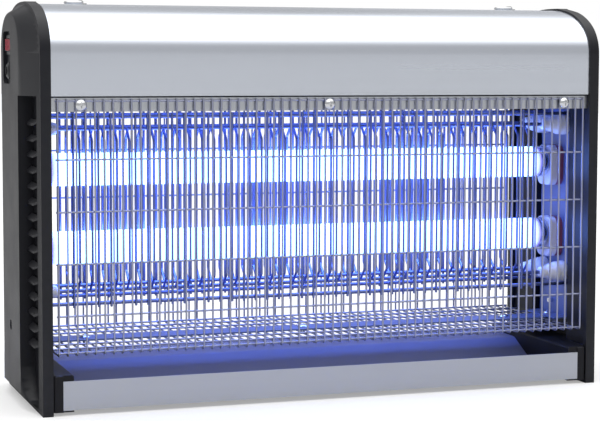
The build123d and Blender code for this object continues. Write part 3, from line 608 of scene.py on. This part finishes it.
class ZapperBody(bpy.types.PropertyGroup):
    """Cover, lamp and small-part sizes"""

    arch_rise: metres("Arch rise", "Height of the cover's arch", 0.0385)
    arch_power: number("Arch power", "Roundness of the arch, 2 is an ellipse", 2.25)
    cover_sheet: metres("Cover sheet", "Thickness of the cover", 0.001)
    tray_lip: metres("Tray lip", "How far back the tray's bare metal reaches", 0.0006)
    cap_length: metres("Lamp cap length", "Metal cap along the lamp", 0.0076)
    pin_spacing: metres("Pin spacing", "Distance between lamp pins", 0.0127)
    holder_foot: metres("Holder foot", "Way from the middle where a holder turns brown", 0.2255)
    bell_radius: metres("Insulator radius", "Radius of a bell insulator's mouth", 0.0092)
    bell_neck: metres("Insulator neck", "Radius of a bell insulator's narrow end", 0.005)
    ring_wire: metres("Ring wire", "Diameter of a hanging ring's wire", 0.002)


class ZapperFinishes(bpy.types.PropertyGroup):
    """Colours of the finishes"""

    cover: paint("Cover", "Brushed cover metal", (0.76, 0.80, 0.88))
    case: paint("End caps", "Charcoal plastic", (0.0105, 0.011, 0.015))
    # Plates: galvanised grey metal with the lamps' blue light painted into its colour
    plate: paint("Plates", "Galvanised plate", (0.15, 0.20, 0.38))
    guard: paint("Guards", "Zinc of the guard wires", (0.40, 0.42, 0.54))
    # Combs: steel wire with the lamps' blue light painted into its colour
    comb: paint("Combs", "Steel of the high-voltage wires", (0.22, 0.27, 0.52))
    tray_face: paint("Tray lip", "Bare metal of the tray's lip", (0.50, 0.52, 0.57))
    # Tray pan: grey coat with the lamps' blue light painted into its colour
    tray_pan: paint("Tray pan", "Coat inside the tray", (0.15, 0.18, 0.37))
    rocker: paint("Rocker", "Red rocker", (0.38, 0.012, 0.035))
    glow: paint("Glow", "Light of the lamps", (0.17, 0.31, 1.0))
    glow_strength: number("Glow strength", "Lamp brightness", 10.0)


class ZapperStage(bpy.types.PropertyGroup):
    """Camera and light"""

    lens: bpy.props.FloatProperty(
        name="Lens", description="Focal length", default=105.0, unit="CAMERA",
        subtype="DISTANCE_CAMERA",
    )
    camera_place: bpy.props.FloatVectorProperty(
        name="Camera", description="Camera position", default=(-0.4697, -1.3510, 0.2631),
        subtype="TRANSLATION",
    )
    camera_turn: bpy.props.FloatVectorProperty(
        name="Camera turn", description="Camera rotation", subtype="EULER",
        default=(math.radians(85.506), math.radians(-0.142), math.radians(-19.06)),
    )
    camera_drop: number("Camera shift", "Vertical shift", -0.0157)
    room_light: number("Room light", "Strength of the room", 0.5)
    overhead_light: number("Overhead light", "Strength of the patch overhead", 2.1)
    key_power: bpy.props.FloatProperty(
        name="Key light", description="Power of the front softbox", default=2.0, unit="POWER"
    )


def chosen(which):
    """One of the zapper's property groups."""
    return getattr(bpy.context.scene, "zapper_" + which)


# ---------------------------------------------------------------- operators
class ZAPPER_OT_finishes(bpy.types.Operator):
    """Make the shared effects and every material"""

    bl_idname = "zapper.finishes"
    bl_label = "Finishes"

    def execute(self, context):
        GROUPS["moulded grain"] = moulded_grain_group()
        GROUPS["brushed lines"] = brushed_lines_group()
        GROUPS["settled dust"] = settled_dust_group()
        GROUPS["edge wear"] = edge_wear_group()
        colours, sizes = chosen("finishes"), chosen("body")
        low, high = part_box("upper_lamp_tube")
        half_glass = (high.x - low.x) / 2
        tray_lip_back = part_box("tray_pan")[0].y + sizes.tray_lip
        MATERIALS.update(
            cap_plastic=plastic(
                "charcoal plastic", tuple(colours.case), 0.42, grain=0.55, specular=0.24,
                dust=0.06,
            ),
            cover_metal=metal(
                "brushed cover", tuple(colours.cover), 0.26, lines=0.16, relief=0.12,
                brushed=True, dust=0.04, wear=0.0, anisotropy=0.3,
            ),
            lip_metal=metal(
                "galvanised lip", (0.55, 0.57, 0.61), 0.3, lines=0.2, relief=0.1, brushed=True
            ),
            # The plates' blue is painted light from the lamps, not the galvanised metal's own
            # colour
            plate_metal=metal(
                "galvanised plate", tuple(colours.plate), 0.4, lines=0.7, relief=0.1, dust=0.0,
                bare=0.35,
            ),
            guard_wire=metal(
                "zinc guard wire", tuple(colours.guard), 0.30, lines=0.4, relief=0.08,
                dust=0.02, wear=0.0,
            ),
            # The comb wires' blue is painted light from the lamps, not the steel's own colour
            grid_wire=metal(
                "steel comb wire", tuple(colours.comb), 0.32, lines=0.4, relief=0.08,
                dust=0.0, wear=0.0,
            ),
            screw_chrome=metal(
                "chromed screw", (0.74, 0.75, 0.77), 0.14, lines=0.5, relief=0.05, dust=0.04,
                wear=0.1,
            ),
            insulator_ceramic=ceramic("white ceramic", (0.86, 0.86, 0.88)),
            holder_plastic=clamp_plastic(
                "holder plastic", (0.72, 0.70, 0.72), (0.22, 0.06, 0.09), sizes.holder_foot
            ),
            rotor_plastic=plastic(
                "rotor plastic", (0.82, 0.82, 0.84), 0.34, grain=0.4, specular=0.45, dust=0.1,
                wear=0.1,
            ),
            lamp_glass=lamp_glass(
                "lit lamp glass", tuple(colours.glow), colours.glow_strength, half_glass
            ),
            lamp_cap=metal(
                "lamp cap metal", (0.72, 0.73, 0.76), 0.25, lines=0.5, relief=0.05, dust=0.05,
                wear=0.1,
            ),
            tray_metal=coated_tray(
                "coated tray", tuple(colours.tray_face), tuple(colours.tray_pan), tray_lip_back
            ),
            tray_plastic=plastic(
                "tray end plastic", (0.008, 0.008, 0.011), 0.44, grain=0.5, specular=0.22,
                dust=0.05,
            ),
            switch_black=plastic(
                "switch black", (0.011, 0.011, 0.013), 0.32, grain=0.4, specular=0.4, dust=0.1
            ),
            switch_red=plastic(
                "rocker red", tuple(colours.rocker), 0.22, grain=0.5, specular=0.5, dust=0.05,
                wear=0.1, transmission=0.25,
            ),
            core_steel=metal(
                "core steel", (0.30, 0.30, 0.31), 0.45, lines=0.35, relief=0.3, brushed=True,
                wear=0.1,
            ),
            ballast_paint=plastic(
                "ballast paint", (0.50, 0.51, 0.53), 0.4, grain=0.5, specular=0.4, dust=0.2,
                wear=0.2,
            ),
            copper_winding=enamelled_copper("enamelled copper", (0.55, 0.20, 0.08)),
            board=plastic(
                "circuit board", (0.03, 0.13, 0.05), 0.35, grain=0.9, specular=0.5, dust=0.15,
                wear=0.1,
            ),
            capacitor_film=plastic(
                "capacitor sleeve", (0.05, 0.10, 0.28), 0.28, grain=0.5, specular=0.5,
                dust=0.1, wear=0.1,
            ),
        )
        return {"FINISHED"}


class ZAPPER_OT_case(bpy.types.Operator):
    """Make the two moulded end caps"""

    bl_idname = "zapper.case"
    bl_label = "End caps"

    def execute(self, context):
        for node in ("left_end_cap", "right_end_cap"):
            smoothed_copy(node, "cap_plastic")
        return {"FINISHED"}


class ZAPPER_OT_cover(bpy.types.Operator):
    """Make the arched cover from its section"""

    bl_idname = "zapper.cover"
    bl_label = "Cover"

    def execute(self, context):
        sizes = chosen("body")
        rise, power, sheet = sizes.arch_rise, sizes.arch_power, sizes.cover_sheet
        low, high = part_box("top_cover")
        spring = high.z - rise
        outer = arch(high.y, spring, rise, low.z, power)
        inner = arch(high.y - sheet, spring, rise - sheet, low.z, power)[::-1]
        section = np.concatenate([outer, inner])
        stations = np.linspace(low.x, high.x, 25)
        count = len(section)
        points = np.empty((len(stations), count, 3))
        points[..., 0] = stations[:, None]
        points[..., 1:] = section[None]
        # Each end is closed by quads from the outer line to the inner one, point by point.
        ring = np.arange(count // 2 - 1)
        end = np.stack([ring, ring + 1, count - 2 - ring, count - 1 - ring], 1)
        other_end = end + (len(stations) - 1) * count
        faces = np.concatenate([ring_faces(len(stations), count), end, other_end])
        add_piece("cover", [(points.reshape(-1, 3), faces)], "cover_metal", ("top_cover",))
        return {"FINISHED"}


class ZAPPER_OT_chassis(bpy.types.Operator):
    """Make the channel, side plates and bottom rail"""

    bl_idname = "zapper.chassis"
    bl_label = "Chassis"

    def execute(self, context):
        smoothed_copy("chassis_channel", "lip_metal")
        for node in ("left_side_plate", "right_side_plate", "bottom_rail"):
            smoothed_copy(node, "plate_metal")
        return {"FINISHED"}


class ZAPPER_OT_guards(bpy.types.Operator):
    """Make the front and rear wire guards"""

    bl_idname = "zapper.guards"
    bl_label = "Wire guards"

    def execute(self, context):
        wires = chosen("wires")
        radius, sides = wires.guard_wire / 2, wires.wire_sides
        crossing = 1.8 * radius  # between the axes of welded wires, which sink in by a tenth
        rows, foot_rows = np.array(wires.guard_rows), np.array(wires.foot_rows)
        places = evenly(wires.guard_count, wires.guard_pitch)
        for name, side in (("front_guard", -1), ("rear_guard", 1)):
            nodes = (name, name + "_foot")
            low, high = box_of(nodes)
            outside, inside = (low.y, high.y) if side < 0 else (high.y, low.y)
            plane, foot = outside - side * radius, low.z + radius
            bent = rounded_path(
                [(0, plane, high.z), (0, plane, foot), (0, inside, foot)], wires.guard_bend
            )
            upright = tube(bent, radius, (1, 0, 0), sides)
            row_y = np.full(len(rows), plane - side * crossing)
            foot_z = np.full(len(foot_rows), foot + crossing)
            cross_y = np.concatenate([row_y, plane - side * foot_rows])
            cross_z = np.concatenate([rows, foot_z])
            cross_places = np.stack([np.zeros_like(cross_y), cross_y, cross_z], 1)
            across = repeated(cross_wire(low, high, radius, sides), cross_places)
            add_piece(
                name + "_wires", [repeated_along_x(upright, places), across], "guard_wire", nodes
            )
        return {"FINISHED"}


class ZAPPER_OT_combs(bpy.types.Operator):
    """Make the four high-voltage combs"""

    bl_idname = "zapper.combs"
    bl_label = "High-voltage combs"

    def execute(self, context):
        wires = chosen("wires")
        radius, bar, sides = wires.comb_wire / 2, wires.comb_bar / 2, wires.wire_sides
        sunk = 0.0002  # metres by which a live wire's end sinks into its bar
        return_places = evenly(wires.comb_count, wires.comb_pitch)
        live_places = (return_places[1:] + return_places[:-1]) / 2
        for face, side in (("front", -1), ("rear", 1)):
            name = f"{face}_return_grid"
            low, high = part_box(name)
            plane = (low.y if side < 0 else high.y) - side * radius
            bar_y = (high.y if side < 0 else low.y) + side * bar
            middle = (low.z + high.z) / 2
            straight = tube(
                [(0, plane, low.z), (0, plane, middle), (0, plane, high.z)],
                radius, (1, 0, 0), sides,
            )
            bars = [(0, bar_y, low.z + 2 * bar), (0, bar_y, high.z - 2 * bar)]
            self.comb(name, low, high, bar, straight, return_places, bars)

            name = f"{face}_live_grid"
            low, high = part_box(name)
            bar_y = (high.y if side < 0 else low.y) + side * bar
            bottom, top = low.z + bar, high.z - bar
            step = abs(plane - bar_y) - sunk
            bent = rounded_path(
                [(0, bar_y + side * sunk, bottom), (0, plane, bottom + step),
                 (0, plane, top - step), (0, bar_y + side * sunk, top)],
                wires.comb_bend,
            )
            bars = [(0, bar_y, bottom), (0, bar_y, top)]
            self.comb(
                name, low, high, bar, tube(bent, radius, (1, 0, 0), sides), live_places, bars
            )
        return {"FINISHED"}

    def comb(self, name, low, high, bar, wire, places, bars):
        """One comb: a wire repeated along X on two bars."""
        across = repeated(cross_wire(low, high, bar, chosen("wires").bar_sides), bars)
        add_piece(name + "_wires", [repeated_along_x(wire, places), across], "grid_wire", (name,))


class ZAPPER_OT_insulators(bpy.types.Operator):
    """Make the bell insulators as turned shapes"""

    bl_idname = "zapper.insulators"
    bl_label = "Insulators"

    def execute(self, context):
        low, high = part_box("left_insulators")
        sizes = chosen("body")
        radius, length = sizes.bell_radius, high.x - low.x
        spots = [
            (y, z)
            for y in (low.y + radius, high.y - radius)
            for z in (low.z + radius, high.z - radius)
        ]
        # The flank narrows from the rim to the neck on a half cosine, with three shallow ribs.
        t = np.linspace(0, 1, 22)
        flank = (1 - np.cos(np.pi * t)) / 2 * (0.35 + 0.65 * t)
        bell = radius - (radius - sizes.bell_neck) * flank - 0.00035 * np.sin(3 * np.pi * t) ** 2
        rim_end, nose_start = 0.004, 0.003
        profile = np.concatenate([
            # mouth and rounded rim
            [(0, 0), (0, radius - 0.0015), (0.0005, radius - 0.0006), (0.0015, radius),
             (0.003, radius)],
            np.stack([rim_end + t * (length - rim_end - nose_start), bell], 1),
            # rounded nose and the blind hole for its screw
            [(length - 0.0012, 0.0047), (length - 0.0004, 0.0041), (length, 0.0032),
             (length, 0.0019), (length - 0.0058, 0.0018), (length - 0.006, 0)],
        ])
        for node, start, way in (("left_insulators", low.x, 1), ("right_insulators", -low.x, -1)):
            bells = [lathe(profile, (start, y, z), (way, 0, 0), 40) for y, z in spots]
            add_piece(node + "_bells", bells, "insulator_ceramic", (node,), smooth_angle=50)
        return {"FINISHED"}


class ZAPPER_OT_lamps(bpy.types.Operator):
    """Make the lamps, their caps with pins, their rotors and holders"""

    bl_idname = "zapper.lamps"
    bl_label = "Lamps"

    def execute(self, context):
        for level in ("upper", "lower"):
            body = f"{level}_lamp"
            centre_z, radius, reach = self.glass(level, body)
            self.caps(level, body, centre_z, radius, reach)
            smoothed_copy(f"{level}_lamp_rotors", "rotor_plastic", "holder_plastic", body)
            for side in ("left", "right"):
                smoothed_copy(f"{level}_{side}_lampholder", "holder_plastic")
        return {"FINISHED"}

    def glass(self, level, body):
        """Glass tube whose ends turn in on a quarter ellipse; returns its height and sizes."""
        low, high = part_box(f"{level}_lamp_tube")
        centre_z, radius, reach = (low.z + high.z) / 2, (high.z - low.z) / 2, high.x
        turn_in, shrink = 0.003, 0.0012
        t = np.linspace(0, np.pi / 2, 8)
        shoulder = np.stack(
            [reach - turn_in + turn_in * np.sin(t), radius - shrink + shrink * np.cos(t)], 1
        )
        straight = [(0, radius), (0.07, radius), (0.14, radius), (reach - 0.0035, radius)]
        half = np.concatenate([straight, shoulder])
        profile = np.concatenate([[(-reach, 0)], (half * (-1, 1))[::-1], half[1:], [(reach, 0)]])
        tube_shape = lathe(profile, (0, 0, centre_z), (1, 0, 0), 64)
        add_piece(
            f"{level}_lamp_glass", [tube_shape], "lamp_glass", (f"{level}_lamp_tube",), body, 60
        )
        return centre_z, radius, reach

    def caps(self, level, body, centre_z, radius, reach):
        """Metal cap with a rolled groove, an inset disc and two pins, at both ends."""
        sizes = chosen("body")
        low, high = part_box(f"{level}_lamp_caps")
        outer = (high.z - low.z) / 2
        pin_end, face, start = high.x, reach + sizes.cap_length, reach + 0.0001
        groove, disc, inset = outer - 0.0004, 0.009, 0.0006
        cap = [
            (start, 0), (start, radius - 0.001), (start, outer),
            (reach + 0.0016, outer), (reach + 0.0019, groove),
            (reach + 0.0024, groove), (reach + 0.0027, outer),
            (face - 0.0014, outer), (face - 0.0005, outer - 0.0005), (face, outer - 0.0014),
            (face, disc + 0.0005), (face - inset, disc), (face - inset, 0),
        ]
        pin_radius, pin_tip = 0.00117, 0.0006
        pin = [(face - 0.001, 0), (face - 0.001, pin_radius), (pin_end - pin_tip, pin_radius),
               (pin_end, pin_tip), (pin_end, 0)]
        surfaces = []
        for side in (-1, 1):
            surfaces.append(lathe(cap, (0, 0, centre_z), (side, 0, 0), 64))
            for way in (-1, 1):
                pin_z = centre_z + way * sizes.pin_spacing / 2
                surfaces.append(lathe(pin, (0, 0, pin_z), (side, 0, 0), 16))
        add_piece(
            f"{level}_lamp_metal_caps", surfaces, "lamp_cap", (f"{level}_lamp_caps",), body, 35
        )


class ZAPPER_OT_tray(bpy.types.Operator):
    """Make the sliding tray"""

    bl_idname = "zapper.tray"
    bl_label = "Tray"

    def execute(self, context):
        smoothed_copy("tray_pan", "tray_metal", body="tray")
        for node in ("tray_left_end", "tray_right_end"):
            smoothed_copy(node, "tray_plastic", body="tray", edge=0.0004)
        return {"FINISHED"}


class ZAPPER_OT_controls(bpy.types.Operator):
    """Make the switch, its rocker and the cable inlet"""

    bl_idname = "zapper.controls"
    bl_label = "Switch and inlet"

    def execute(self, context):
        smoothed_copy("switch_body", "switch_black", edge=0.0002)
        smoothed_copy("switch_rocker", "switch_red", body="rocker", edge=0.0005)
        smoothed_copy("cable_gland", "switch_black")
        return {"FINISHED"}


class ZAPPER_OT_fasteners(bpy.types.Operator):
    """Make every screw and the ring saddles"""

    bl_idname = "zapper.fasteners"
    bl_label = "Screws and saddles"

    def execute(self, context):
        for fixed in ("guard", "rail", "chassis", "cap", "insulator"):
            smoothed_copy(fixed + "_screws", "screw_chrome")
        smoothed_copy("hanger_saddles", "screw_chrome")
        return {"FINISHED"}


class ZAPPER_OT_rings(bpy.types.Operator):
    """Make the two folding hanging rings"""

    bl_idname = "zapper.rings"
    bl_label = "Hanging rings"

    def execute(self, context):
        radius = chosen("body").ring_wire / 2
        leg, corner = 0.001, 0.0003
        for side in ("left", "right"):
            node = f"{side}_hanging_ring"
            low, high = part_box(node)
            bar_x, far_x, half = high.x - radius, low.x + radius, high.y - radius
            z = (low.z + high.z) / 2
            # A half circle, (x, y) = (far + half - half * cos t, half * sin t), closed by a bar.
            t = np.linspace(-np.pi / 2, np.pi / 2, 15)
            bow = np.stack([far_x + half - half * np.cos(t), half * np.sin(t)], 1)
            bar_y = np.linspace(half - leg, leg - half, 5)
            bar = np.stack([np.full(5, bar_x), bar_y], 1)
            turn = np.array([(bar_x - leg, half), (bar_x - corner, half - corner)])
            turn_back = (turn * (1, -1))[::-1]
            flat = np.concatenate([bow, turn, bar, turn_back])
            path = np.column_stack([flat, np.full(len(flat), z)])
            wire = tube(path, radius, (0, 0, 1), 14, closed=True)
            add_piece(node + "_wire", [wire], "screw_chrome", (node,), f"{side}_ring", 60)
        return {"FINISHED"}


class ZAPPER_OT_electrics(bpy.types.Operator):
    """Make the transformer, ballasts, starters, board and terminals under the cover"""

    bl_idname = "zapper.electrics"
    bl_label = "Electrics"

    def execute(self, context):
        for node, finish, slot in (
            ("transformer_core", "core_steel", "core_steel"),
            ("transformer_winding", "copper_winding", "copper_winding"),
            ("upper_lamp_ballast", "ballast_paint", "core_steel"),
            ("lower_lamp_ballast", "ballast_paint", "core_steel"),
            ("starter_sockets", "rotor_plastic", "holder_plastic"),
            ("starters", "lamp_cap", "lamp_cap"),
            ("terminal_block", "rotor_plastic", "holder_plastic"),
            ("multiplier_board", "board", "board"),
            ("board_capacitors", "capacitor_film", "board"),
        ):
            smoothed_copy(node, finish, slot)
        return {"FINISHED"}


class ZAPPER_OT_stage(bpy.types.Operator):
    """Make the floor, the lights, the room and the camera"""

    bl_idname = "zapper.stage"
    bl_label = "Stage"

    def execute(self, context):
        stage, scene = chosen("stage"), context.scene
        self.floor()
        self.room(stage)
        key = bpy.data.lights.new("overhead softbox", "AREA")
        key.shape = "RECTANGLE"
        key.size, key.size_y = 3.0, 1.2
        key.energy = stage.key_power
        lamp = bpy.data.objects.new("overhead softbox", key)
        scene.collection.objects.link(lamp)
        lamp.location = (-0.4, -1.7, 2.0)
        lamp.rotation_euler = (math.radians(42), 0, math.radians(-12))
        camera = bpy.data.objects.new("camera", bpy.data.cameras.new("camera"))
        scene.collection.objects.link(camera)
        camera.data.lens = stage.lens
        camera.data.sensor_width = 36
        camera.data.shift_y = stage.camera_drop
        camera.location = stage.camera_place
        camera.rotation_euler = stage.camera_turn
        scene.camera = camera
        scene.view_settings.view_transform = "Standard"
        return {"FINISHED"}

    def room(self, stage):
        """Room that looks white, and lights dimly all round and brightly from overhead."""
        world = bpy.data.worlds.new("white room")
        bpy.context.scene.world = world
        world.use_nodes = True
        tree = world.node_tree
        background = tree.nodes["Background"]
        way = split(tree, add_node(tree, "ShaderNodeTexCoord").outputs["Generated"])
        high_up = add_node(
            tree, "ShaderNodeMapRange", {"Value": way["Z"], "From Min": 0.42, "From Max": 0.86},
            interpolation_type="SMOOTHSTEP",
        ).outputs[0]
        not_behind = share_between(tree, way["Y"], 0.72, 0.64)
        overhead = maths(tree, "MULTIPLY", high_up, not_behind)
        light = scaled(tree, overhead, stage.room_light, stage.overhead_light)
        direct = add_node(tree, "ShaderNodeLightPath").outputs["Is Camera Ray"]
        strength = add_node(
            tree, "ShaderNodeMix", {0: direct, 2: light, 3: 1.0}, data_type="FLOAT"
        )
        tree.links.new(strength.outputs[0], background.inputs["Strength"])
        background.inputs["Color"].default_value = (1, 1, 1, 1)

    def floor(self):
        """Pale round floor: point (r, a) = r * (cos a, sin a, 0).

        Past 0.3 of the way out it drops by the square of the way that is left behind.
        """
        radius, drop, seen_glow = 9.0, 0.05, 0.36
        way = np.linspace(0, 1, 12)[:, None]
        angle = np.linspace(0, 2 * np.pi, 48, endpoint=False)
        points = np.empty((len(way), len(angle), 3))
        points[..., 0] = radius * way * np.cos(angle)
        points[..., 1] = radius * way * np.sin(angle)
        points[..., 2] = -drop * np.clip(way - 0.3, 0, 1) ** 2
        mesh = bpy.data.meshes.new("floor")
        faces = ring_faces(len(way), len(angle))
        mesh.from_pydata(points.reshape(-1, 3).tolist(), [], faces.tolist())
        mesh.polygons.foreach_set("use_smooth", np.ones(len(mesh.polygons), bool))
        material, tree, shader = new_material("pale floor")
        cloud = noise(tree, object_place(tree), 3.0, 4.0)
        base = mix_colour(tree, cloud, (0.60, 0.60, 0.605), (0.62, 0.62, 0.62))
        tree.links.new(base, shader.inputs["Base Color"])
        shader.inputs["Roughness"].default_value = 0.9
        shader.inputs["Emission Color"].default_value = (1, 1, 1, 1)
        direct = add_node(tree, "ShaderNodeLightPath").outputs["Is Camera Ray"]
        glow = scaled(tree, direct, 0.0, seen_glow)
        tree.links.new(glow, shader.inputs["Emission Strength"])
        mesh.materials.append(material)
        floor = bpy.data.objects.new("floor", mesh)
        bpy.context.scene.collection.objects.link(floor)


OPERATORS = (
    ZAPPER_OT_finishes, ZAPPER_OT_case, ZAPPER_OT_cover, ZAPPER_OT_chassis, ZAPPER_OT_guards,
    ZAPPER_OT_combs, ZAPPER_OT_insulators, ZAPPER_OT_lamps, ZAPPER_OT_tray,
    ZAPPER_OT_controls, ZAPPER_OT_fasteners, ZAPPER_OT_rings, ZAPPER_OT_electrics,
    ZAPPER_OT_stage,
)
PROPERTY_GROUPS = {
    "wires": ZapperWires, "body": ZapperBody, "finishes": ZapperFinishes, "stage": ZapperStage,
}


class ZAPPER_PT_panel(bpy.types.Panel):
    """Buttons for every piece of the bug zapper"""

    bl_label = "Bug zapper"
    bl_idname = "ZAPPER_PT_panel"
    bl_space_type = "VIEW_3D"
    bl_region_type = "UI"
    bl_category = "Bug zapper"

    def draw(self, context):
        for operator in OPERATORS:
            self.layout.operator(operator.bl_idname)


CLASSES = (*PROPERTY_GROUPS.values(), *OPERATORS, ZAPPER_PT_panel)


def register():
    """Register the classes and hang the property groups on the scene."""
    for kind in CLASSES:
        bpy.utils.register_class(kind)
    for name, kind in PROPERTY_GROUPS.items():
        setattr(bpy.types.Scene, "zapper_" + name, bpy.props.PointerProperty(type=kind))


def unregister():
    """Take the property groups off the scene and unregister the classes."""
    for name in PROPERTY_GROUPS:
        delattr(bpy.types.Scene, "zapper_" + name)
    for kind in reversed(CLASSES):
        bpy.utils.unregister_class(kind)


def main():
    register()
    for operator in OPERATORS:
        family, name = operator.bl_idname.split(".")
        getattr(getattr(bpy.ops, family), name)()


if __name__ == "__main__":
    main()
